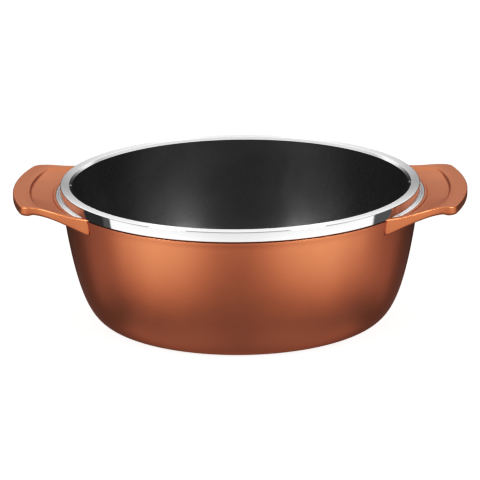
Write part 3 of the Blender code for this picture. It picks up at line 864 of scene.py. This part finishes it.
class Finish(Nodes):
    """A new material with its nodes, its shader and the place of each point on the pot."""

    def __init__(self, name, metallic, **settings):
        self.material = bpy.data.materials.new(name)
        self.material.use_nodes = True
        super().__init__(self.material.node_tree)
        self.shader = self.tree.nodes["Principled BSDF"]
        for key, value in {"Metallic": metallic, **settings}.items():
            self.shader.inputs[key.replace("_", " ")].default_value = value
        self.place = self.add("ShaderNodeTexCoord").outputs["Object"]

    def use(self, group, **values):
        """Place a node group with its own values and return its outputs."""
        node = self.add("ShaderNodeGroup", node_tree=group, label=group.name)
        for key, value in {"Place": self.place, **values}.items():
            self.feed(node.inputs[key.replace("_", " ")], value)
        return node.outputs

    def dress(self, tone, rough, height, depth):
        """Give the shader its colour, its roughness and its relief of this depth."""
        relief = self.add("ShaderNodeBump", Strength=1.0, Distance=depth, Height=height)
        for key, value in (("Base Color", tone), ("Roughness", rough), ("Normal", relief.outputs["Normal"])):
            self.feed(self.shader.inputs[key], value)
        return self.material


def shade(colour, factor=1.0):
    """Lighter or darker version of a colour, with its fourth channel."""
    return tuple(min(part * factor, 1.0) for part in colour) + (1.0,)


def copper_lacquer(finishes):
    """Satin copper-coloured metallic lacquer, sprayed over the casting."""
    paint = Finish("copper_lacquer", 1.0, Coat_Roughness=0.2, Specular_Tint=(0.88, 0.40, 0.27, 1.0))
    flakes = paint.use(paint_flake())
    patch = paint.use(soft_patches(), Per_metre=11.0, Contrast=1.6)["Patch"]
    marks = paint.use(soft_patches(), Per_metre=55.0, Contrast=2.0)["Patch"]
    wear_and_highlight = paint.use(rubbed_edge_and_highlight(), Radius=0.0012, Amount=1.0)["Mask"]
    tone = paint.mix(patch, shade(finishes.copper, 0.98), shade(finishes.copper, 1.02))
    tone = paint.tint(tone, shade(finishes.copper, 1.35), paint.ease(flakes["Flake"], 0.0, 1.0), share=0.16)
    # Partly wear, partly painted edge highlight: the outer edges are tinted towards a lighter copper.
    tone = paint.tint(tone, shade(finishes.rubbed_copper_and_highlight), wear_and_highlight, share=0.15)
    low, high = finishes.copper_roughness - 0.008, finishes.copper_roughness + 0.008
    rough = paint.raised(paint.ease(marks, 0.2, 0.8, low, high), wear_and_highlight, amount=0.24)
    paint.feed(paint.shader.inputs["Coat Weight"], paint.raised(0.5, wear_and_highlight, amount=-0.4))
    return paint.dress(tone, rough, flakes["Height"], depth=0.00002)


def painted_seam_shade(finishes):
    """Painted shade: a dark material for the shell's top face in the open joint under the band, standing in
    for the shadow there.
    """
    metal = Finish("painted_seam_shade", 0.0)
    patch = metal.use(soft_patches(), Per_metre=90.0, Contrast=1.6)["Patch"]
    tone = metal.mix(patch, shade(finishes.copper, 0.05), shade(finishes.copper, 0.09))
    rough = metal.ease(patch, 0.2, 0.8, 0.55, 0.70)
    return metal.dress(tone, rough, metal.noise(metal.place, 1500.0, roughness=0.6), depth=0.00003)


def polished_aluminium(finishes):
    """Bare turned and polished metal of the rim, with painted light on its flat top."""
    metal = Finish("polished_aluminium", 1.0, Anisotropic=0.97, Anisotropic_Rotation=0.25)
    tangent = metal.add("ShaderNodeTangent", direction_type='RADIAL', axis='Z')
    metal.feed(metal.shader.inputs["Tangent"], tangent.outputs[0])
    marks = metal.use(turned_marks(), Per_metre=5200.0, Rise=1.0)
    patch = metal.use(soft_patches(), Per_metre=30.0, Contrast=1.8)["Patch"]
    scratch = metal.use(fine_dust(), Per_metre=650.0, Share=0.05, Size=0.22)["Speck"]
    up = metal.add("ShaderNodeSeparateXYZ", metal.add("ShaderNodeNewGeometry").outputs["Normal"]).outputs["Z"]
    flat = metal.ease(up, 0.80, 0.95)
    tone = metal.mix(marks["Streak"], shade(finishes.polished, 0.94), shade(finishes.polished, 1.03))
    # Painted light: the flat top gets a lighter colour than the band, standing in for the brighter light it
    # catches.
    tone = metal.mix(flat, tone, shade(finishes.polished, 1.10))
    rough = metal.ease(marks["Streak"], 0.2, 0.8, 0.035, 0.06)
    for mask, amount in ((flat, 0.25), (patch, 0.02), (scratch, 0.15)):
        rough = metal.raised(rough, mask, amount)
    return metal.dress(tone, rough, marks["Height"], depth=0.000003)


def black_nonstick(finishes):
    """Black non-stick coating with a fine pale speckle."""
    coat = Finish("black_nonstick", 0.0, Specular_IOR_Level=0.95, IOR=1.75)
    speck = coat.use(fine_dust(), Per_metre=850.0, Share=0.22, Size=0.34)["Speck"]
    mist = coat.use(fine_dust(), Per_metre=2600.0, Share=0.30, Size=0.40)["Speck"]
    patch = coat.use(soft_patches(), Per_metre=16.0, Contrast=1.4)["Patch"]
    tone = coat.mix(patch, shade(finishes.lining, 0.88), shade(finishes.lining, 1.12))
    for mask, share in ((mist, 0.05), (speck, 0.22)):
        tone = coat.tint(tone, shade(finishes.speckle), mask, share)
    low, high = finishes.lining_roughness - 0.03, finishes.lining_roughness + 0.03
    rough = coat.raised(coat.ease(patch, 0.2, 0.8, low, high), speck, amount=-0.12)
    return coat.dress(tone, rough, coat.noise(coat.place, 1500.0, roughness=0.6), depth=0.000025)


def plate_steel(finishes):
    """Steel of the induction plate, brushed in rings and a little straw-tinted by heat."""
    steel = Finish("plate_steel", 1.0)
    marks = steel.use(turned_marks(), Per_metre=2600.0, Rise=0.0)
    patch = steel.use(soft_patches(), Per_metre=18.0, Contrast=1.8)["Patch"]
    wear_and_highlight = steel.use(rubbed_edge_and_highlight(), Radius=0.0005, Amount=0.5)["Mask"]
    tone = steel.mix(marks["Streak"], shade(finishes.plate, 0.82), shade(finishes.plate, 1.15))
    tone = steel.tint(tone, shade(finishes.heat_tint), patch, share=0.18)
    # Partly wear, partly painted edge highlight: the plate's edges are made lighter through the edge mask.
    tone = steel.mix(wear_and_highlight, tone, shade(finishes.plate, 1.5))
    rough = steel.ease(marks["Streak"], 0.1, 0.9, 0.27, 0.42)
    return steel.dress(tone, rough, marks["Height"], depth=0.000012)


def screw_steel(finishes):
    """Steel of the screws and the washers, with a fine drawn grain."""
    steel = Finish("screw_steel", 1.0)
    patch = steel.use(soft_patches(), Per_metre=300.0, Contrast=1.8)["Patch"]
    wear_and_highlight = steel.use(rubbed_edge_and_highlight(), Radius=0.0003, Amount=0.6)["Mask"]
    tone = steel.mix(patch, shade(finishes.screw, 0.85), shade(finishes.screw, 1.05))
    # Partly wear, partly painted edge highlight: the edges of the screws and washers are made lighter through
    # the edge mask.
    tone = steel.mix(wear_and_highlight, tone, shade(finishes.screw, 1.35))
    rough = steel.ease(patch, 0.2, 0.8, 0.2, 0.32)
    return steel.dress(tone, rough, steel.noise(steel.place, 5000.0, roughness=0.6), depth=0.000006)


def pale_floor(studio):
    """Plain pale floor, lit mostly by itself so that the pot's shadow on it stays faint."""
    return Finish("pale_floor", 0.0, Roughness=0.8, Specular_IOR_Level=0.2,
                  Base_Color=shade(studio.floor_colour, FLOOR_SHADOW),
                  Emission_Color=shade(studio.floor_colour), Emission_Strength=FLOOR_GLOW).material


def soft_studio(studio):
    """White studio whose brightness changes with height, in front, beside the pot and behind it."""
    world = bpy.data.worlds.new("studio")
    world.use_nodes = True
    nodes = Nodes(world.node_tree)
    background = world.node_tree.nodes["Background"]
    way = nodes.add("ShaderNodeSeparateXYZ", nodes.add("ShaderNodeTexCoord").outputs["Generated"]).outputs
    toward = nodes.math('MULTIPLY', way["Y"], -1.0)
    turn = nodes.math('ARCTAN2', way["X"], toward)
    height = nodes.math('MULTIPLY_ADD', nodes.math('ARCSINE', way["Z"]), 1.0 / math.pi, 0.5)
    light = None
    for name, middle, start, end, heights in STUDIO_ZONES:
        curve = nodes.add("ShaderNodeFloatCurve", label=name)
        points = curve.mapping.curves[0].points
        while len(points) < len(heights):
            points.new(0.5, 0.5)
        for point, (rise, brightness) in zip(points, heights):
            point.location = (rise / 180.0 + 0.5, brightness / STUDIO_TOP)
            point.handle_type = 'AUTO_CLAMPED'
        curve.mapping.update()
        nodes.feed(curve.inputs["Value"], height)
        if light is None:
            light = curve.outputs["Value"]
            continue
        off = nodes.math('ABSOLUTE', nodes.math('SUBTRACT', turn, math.radians(middle)))
        share = nodes.ease(off, math.radians(start), math.radians(end))
        change = nodes.math('SUBTRACT', curve.outputs["Value"], light)
        light = nodes.math('MULTIPLY_ADD', change, share, light)
    nodes.feed(background.inputs["Strength"], nodes.math('MULTIPLY', light, STUDIO_TOP * studio.brightness))
    background.inputs["Color"].default_value = (1.0, 1.0, 1.0, 1.0)
    return world


def softbox(name, azimuth, studio):
    """Soft rectangular light above the rim, turned towards the pot."""
    data = bpy.data.lights.new(name, 'AREA')
    data.shape = 'RECTANGLE'
    data.size, data.size_y = SOFTBOX_SIZE
    data.energy = studio.softbox_power
    light = add_object(name, data)
    turn, rise = math.radians(azimuth), math.radians(SOFTBOX_RISE)
    way = Vector((math.cos(rise) * math.sin(turn), -math.cos(rise) * math.cos(turn), math.sin(rise)))
    light.location = Vector((0.0, 0.0, SOFTBOX_AIM)) + way * SOFTBOX_DISTANCE
    light.rotation_euler = way.to_track_quat('Z', 'Y').to_euler()


def print_contrast(view):
    """Plain picture with a slightly deeper dark end, as in a printed catalogue."""
    view.view_transform = 'Standard'
    view.use_curve_mapping = True
    curve = view.curve_mapping.curves[3]    # the one for all channels together
    for level, shown in CONTRAST:
        curve.points.new(level, shown)
    view.curve_mapping.update()


class CASSEROLE_OT_shell(bpy.types.Operator):
    """Make the cast shell with its flat base and the studs of the induction plate"""
    bl_idname = "casserole.shell"
    bl_label = "Shell"

    def execute(self, context):
        pot = PotShape(context.scene.pot_sizes)
        neck_r = pot.band_inner_r - SEAM
        shoulder_z = pot.band_foot_z - SHADOW_GAP
        recess_r = PLATE_BOX[1].x + SEAM
        recess_z = PLATE_THICKNESS + SEAM
        outside = pot.outside(WALL_STEPS)[1:]
        inside = pot.inside(HIDDEN_WALL_STEPS, behind=LINING_THICKNESS + SEAM)
        profile = [(neck_r, inside[0].y), (neck_r, shoulder_z), (pot.wall_r, shoulder_z), *outside,
                   (recess_r, 0.0), (recess_r, recess_z), (0.0, recess_z), (0.0, BASE_THICKNESS),
                   *reversed(inside)]
        recess_edge = len(outside) + 3
        profile = rounded(profile, {2: SHOULDER_ROUND, recess_edge: RECESS_ROUND})
        shell = lathe("shell", lambda angle: profile)
        copper = copper_lacquer(context.scene.finishes)
        piece("cast_shell", shell, copper, "pot_body")
        # Painted shade: the shell's top face in the joint under the band takes a dark material in place of the
        # shadow there.
        shell.materials.append(painted_seam_shade(context.scene.finishes))
        for face in shell.polygons:
            if face.normal.z > 0.5 and abs(face.center.z - shoulder_z) < SHOULDER_ROUND:
                face.material_index = 1
        studs = round_bars(stud_places(pot), STUD_R, 0.0, recess_z, steps=STUD_TURN_STEPS,
                           foot_round=STUD_ROUND)
        piece("plate_studs", studs, copper, "pot_body")
        return {'FINISHED'}


class CASSEROLE_OT_ring(bpy.types.Operator):
    """Make the polished ring with its band and its two crescent ledges"""
    bl_idname = "casserole.ring"
    bl_label = "Rim ring"

    def execute(self, context):
        pot = PotShape(context.scene.pot_sizes)
        rim = rounded([(pot.mouth_r, pot.mouth_z), (pot.rim_inner_r, pot.height), (pot.band_r, pot.height),
                       (pot.band_r, pot.band_foot_z)], {1: RIM_INNER_ROUND, 2: RIM_OUTER_ROUND})[:-1]

        def profile_at(angle):
            width = pot.ledge_at(angle)
            share = width / pot.ledge_width
            grown = smoothstep(share / LEDGE_FULL_SHARE)
            foot_z = pot.band_foot_z
            under_z = foot_z - LEDGE_THICKNESS * grown
            outer_r = pot.band_r + width
            soft = LEDGE_ROUND * grown
            groove_r = pot.band_r + min(GROOVE_INSET, width * GROOVE_INSET_SHARE)
            groove = min(GROOVE_WIDTH, width * GROOVE_WIDTH_SHARE)
            cut = smoothstep(share * 2.0 - 1.0)
            return rim + [Vector(point) for point in (
                (pot.band_r, foot_z + LEDGE_ROUND),
                (pot.band_r + soft * ARC_MIDDLE, foot_z + LEDGE_ROUND * ARC_MIDDLE),
                (pot.band_r + soft, foot_z),
                (groove_r, foot_z),
                (groove_r + groove * 0.5, foot_z - groove * cut),
                (groove_r + groove, foot_z),
                (outer_r - soft, foot_z),
                (outer_r - soft * ARC_MIDDLE, foot_z - soft * ARC_MIDDLE),
                (outer_r, foot_z - soft),
                (outer_r, under_z),
                (pot.band_inner_r, under_z),
                (pot.band_inner_r, pot.mouth_z))]

        ring = lathe("ring", profile_at, steps=RING_TURN_STEPS)
        polished = polished_aluminium(context.scene.finishes)
        piece("polished_ring", ring, polished, "rim_ring")
        return {'FINISHED'}


class CASSEROLE_OT_lining(bpy.types.Operator):
    """Make the non-stick lining"""
    bl_idname = "casserole.lining"
    bl_label = "Lining"

    def execute(self, context):
        pot = PotShape(context.scene.pot_sizes)
        back = pot.inside(WALL_STEPS, behind=LINING_THICKNESS)
        profile = back + [(0.0, pot.floor_z - LINING_THICKNESS), (0.0, pot.floor_z)]
        profile += reversed(pot.inside(WALL_STEPS))
        lining = lathe("lining", lambda angle: profile)
        black = black_nonstick(context.scene.finishes)
        piece("coated_lining", lining, black, "nonstick_lining")
        return {'FINISHED'}


class CASSEROLE_OT_handles(bpy.types.Operator):
    """Make the two cast handles"""
    bl_idname = "casserole.handles"
    bl_label = "Handles"

    def execute(self, context):
        pot = PotShape(context.scene.pot_sizes)
        shape = HandleShape(context.scene.handle_sizes, pot)
        seat_z = shape.boss_z + SEAT_DEPTH
        places = list(shape.screws.values())
        seats = round_bars(places, WASHER_R + SEAT_MARGIN, shape.boss_z - WING_DEPTH, seat_z)
        holes = round_bars(places, SCREW_R + SEAM, shape.boss_z - CUT_PAST, seat_z + BOSS_SKIN)
        right = carve(handle_mesh(shape), ledge_notch(pot), seats, holes)
        copper = bpy.data.materials["copper_lacquer"]
        for side, handle in (("right", right), ("left", turned_half(right, "handle_left"))):
            piece("cast_handle_" + side, handle, copper, "handle_" + side)
        return {'FINISHED'}


class CASSEROLE_OT_plate(bpy.types.Operator):
    """Make the perforated induction plate"""
    bl_idname = "casserole.plate"
    bl_label = "Induction plate"

    def execute(self, context):
        pot = PotShape(context.scene.pot_sizes)
        plate_r = PLATE_BOX[1].x
        corners = [(0.0, PLATE_THICKNESS), (plate_r, PLATE_THICKNESS), (plate_r, 0.0), (0.0, 0.0)]
        profile = rounded(corners, {2: PLATE_ROUND})
        disc = lathe("plate", lambda angle: profile)
        holes = round_bars(stud_places(pot), STUD_R + SEAM, -CUT_PAST, PLATE_THICKNESS + CUT_PAST)
        steel = plate_steel(context.scene.finishes)
        piece("perforated_plate", carve(disc, holes), steel, "induction_plate")
        return {'FINISHED'}


class CASSEROLE_OT_fixings(bpy.types.Operator):
    """Make the handle screws and their split spring washers"""
    bl_idname = "casserole.fixings"
    bl_label = "Screws and washers"

    def execute(self, context):
        pot = PotShape(context.scene.pot_sizes)
        shape = HandleShape(context.scene.handle_sizes, pot)
        steel = screw_steel(context.scene.finishes)
        washer_top = shape.boss_z + SEAT_DEPTH - SEAM
        seat_z = washer_top - WASHER_THICKNESS - SEAM
        under_z = seat_z - SCREW_HEAD_HEIGHT
        tip_z = pot.lug_under_z + LUG_THICKNESS - SEAM
        shank = [(0.0, tip_z), (SCREW_R, tip_z), (SCREW_R, seat_z),
                 (SCREW_HEAD_R, seat_z), (SCREW_HEAD_R, under_z), (0.0, under_z)]
        screw_profile = rounded(shank, {1: SCREW_TIP_ROUND, 3: SCREW_SEAT_ROUND, 4: SCREW_HEAD_ROUND})
        socket = round_bars([(0.0, 0.0)], SOCKET_R, under_z - CUT_PAST, under_z + SOCKET_DEPTH,
                            steps=SOCKET_SIDES)
        screw = carve(lathe("screw", lambda angle: screw_profile, steps=SCREW_TURN_STEPS), socket)
        hole_r = SCREW_R + SEAM
        washer_foot = washer_top - WASHER_THICKNESS
        ring = [(hole_r, washer_top), (WASHER_R, washer_top), (WASHER_R, washer_foot), (hole_r, washer_foot)]
        ring_profile = rounded(ring, {0: WASHER_INNER_ROUND, 1: WASHER_OUTER_ROUND,
                                      2: WASHER_OUTER_ROUND, 3: WASHER_INNER_ROUND})
        split = bmesh.new()
        bmesh.ops.create_cube(split, size=1.0)
        bmesh.ops.scale(split, verts=split.verts, vec=(SPLIT_REACH, WASHER_SPLIT, SPLIT_REACH))
        bmesh.ops.translate(split, verts=split.verts, vec=(SPLIT_REACH / 2.0, 0.0, washer_top))
        ring_mesh = lathe("washer", lambda angle: ring_profile, steps=WASHER_TURN_STEPS)
        washer = carve(ring_mesh, to_mesh(split, "split"))
        for side, turn in (("right", 0.0), ("left", math.pi)):
            for end, (x, y) in shape.screws.items():
                for kind, mesh in (("screw", screw), ("washer", washer)):
                    label = kind + "_" + side + "_" + end
                    copy = mesh.copy()
                    copy.transform(Matrix.Rotation(turn, 4, 'Z') @ Matrix.Translation((x, y, 0.0)))
                    piece("fine_" + label, copy, steel, label)
        return {'FINISHED'}


class CASSEROLE_OT_stage(bpy.types.Operator):
    """Set up the floor, the lights and the camera"""
    bl_idname = "casserole.stage"
    bl_label = "Stage"

    def execute(self, context):
        studio = context.scene.studio
        bm = bmesh.new()
        bmesh.ops.create_grid(bm, x_segments=1, y_segments=1, size=FLOOR_SIZE)
        floor = add_object("floor", to_mesh(bm, "floor"))
        floor.location.z = -FLOOR_DROP
        floor.visible_glossy = floor.visible_diffuse = floor.visible_shadow = False
        floor.data.materials.append(pale_floor(studio))
        context.scene.world = soft_studio(studio)
        softbox("softbox_left", -SOFTBOX_AZIMUTH, studio)
        softbox("softbox_right", SOFTBOX_AZIMUTH, studio)

        camera_data = bpy.data.cameras.new("camera")
        camera_data.sensor_width = CAMERA_SENSOR
        camera_data.lens = CAMERA_LENS
        camera = add_object("camera", camera_data)
        camera.location = CAMERA_PLACE
        aim = Vector(CAMERA_AIM) - camera.location
        camera.rotation_mode = 'QUATERNION'
        roll = Quaternion((0.0, 0.0, 1.0), math.radians(CAMERA_ROLL))
        camera.rotation_quaternion = aim.to_track_quat('-Z', 'Y') @ roll
        context.scene.camera = camera
        print_contrast(context.scene.view_settings)
        return {'FINISHED'}


PROPERTY_GROUPS = {"pot_sizes": PotSizes, "handle_sizes": HandleSizes, "finishes": Finishes, "studio": Studio}
OPERATORS = (CASSEROLE_OT_shell, CASSEROLE_OT_ring, CASSEROLE_OT_lining, CASSEROLE_OT_handles,
             CASSEROLE_OT_plate, CASSEROLE_OT_fixings, CASSEROLE_OT_stage)


class CASSEROLE_PT_sidebar(bpy.types.Panel):
    """Sizes, finishes and steps of the casserole pot."""
    bl_idname = "CASSEROLE_PT_sidebar"
    bl_label = "Casserole Pot"
    bl_space_type = 'VIEW_3D'
    bl_region_type = 'UI'
    bl_category = "Casserole"

    def draw(self, context):
        for name, group in PROPERTY_GROUPS.items():
            box = self.layout.box()
            for key in group.__annotations__:
                box.prop(getattr(context.scene, name), key)
        column = self.layout.column()
        for operator in OPERATORS:
            column.operator(operator.bl_idname)


CLASSES = (*PROPERTY_GROUPS.values(), *OPERATORS, CASSEROLE_PT_sidebar)


def register():
    """Register the classes and put their settings on the scene."""
    for cls in CLASSES:
        bpy.utils.register_class(cls)
    for name, group in PROPERTY_GROUPS.items():
        setattr(bpy.types.Scene, name, PointerProperty(type=group))


def unregister():
    """Take the settings and the classes away again."""
    for name in PROPERTY_GROUPS:
        delattr(bpy.types.Scene, name)
    for cls in reversed(CLASSES):
        bpy.utils.unregister_class(cls)


def main():
    """Make every piece and the stage."""
    register()
    for operator in OPERATORS:
        group, name = operator.bl_idname.split(".")
        getattr(getattr(bpy.ops, group), name)()


if __name__ == "__main__":
    main()
